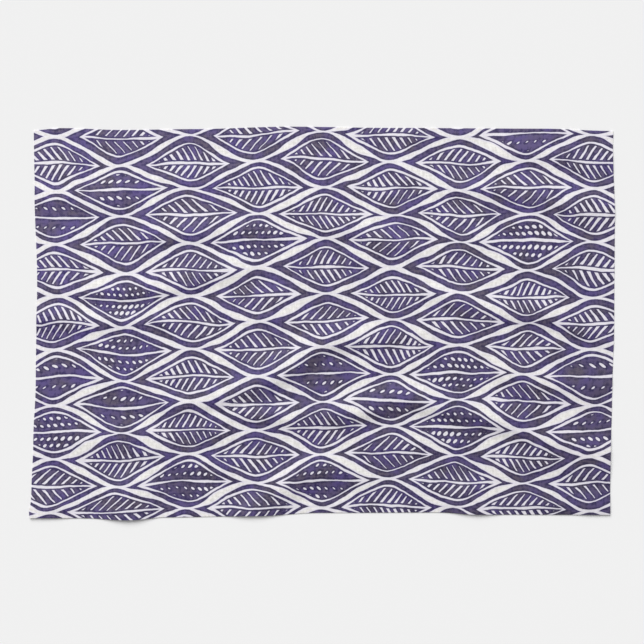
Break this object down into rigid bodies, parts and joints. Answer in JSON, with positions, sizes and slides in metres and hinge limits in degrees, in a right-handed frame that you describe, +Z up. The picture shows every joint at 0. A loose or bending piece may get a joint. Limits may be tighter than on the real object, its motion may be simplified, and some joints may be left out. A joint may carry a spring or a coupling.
{
  "type": "tea towel",
  "caption": "Flat hemmed cotton tea towel laid out print side up, with soft uneven folds and slightly lifted corners.",
  "frame": {"origin": "on the table, under the middle of the laid cloth's bounding box", "axes": "+X along the long sides, +Y towards the far long side, +Z up out of the printed face"},
  "size_m": [0.6164, 0.414, 0.0057],
  "materials": {
    "printed_cotton": "matt pigment print on bleached cotton twill, indigo-violet ground with off-white pattern",
    "plain_cotton": "unprinted bleached cotton twill, the back of the cloth",
    "hem_thread": "white cotton sewing thread, one row of lockstitch along the hem"
  },
  "bodies": {
    "root": {"towel_cloth": "printed_cotton"}
  },
  "joints": []
}
